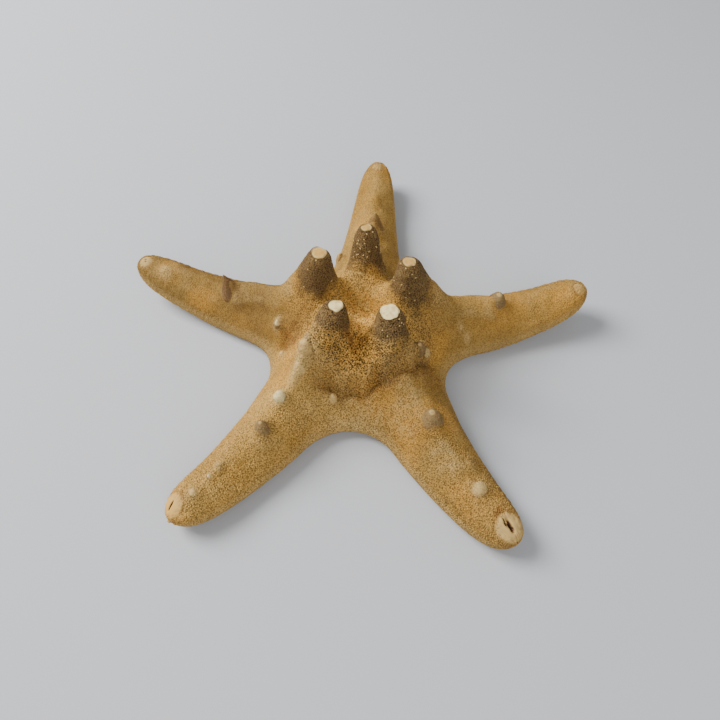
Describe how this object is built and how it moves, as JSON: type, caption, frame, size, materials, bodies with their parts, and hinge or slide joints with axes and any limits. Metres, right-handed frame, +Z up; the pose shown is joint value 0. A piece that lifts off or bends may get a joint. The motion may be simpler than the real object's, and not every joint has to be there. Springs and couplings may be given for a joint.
{
  "type": "dried starfish",
  "caption": "Dried horned sea star with tapering arms, a raised crown of blunt horns and knobs along each arm, lying on its flat underside.",
  "frame": {"origin": "centre of the star's bounding box in plan, on the plane of its flat underside", "axes": "+Z up out of the back with the horns, +X along the widest span across the left and right arms, +Y towards the tip of the single far arm"},
  "size_m": [0.1516, 0.1464, 0.0423],
  "materials": {
    "dried_skin": "dry granular matte"
  },
  "bodies": {
    "root": {"starfish": "dried_skin"}
  },
  "joints": []
}
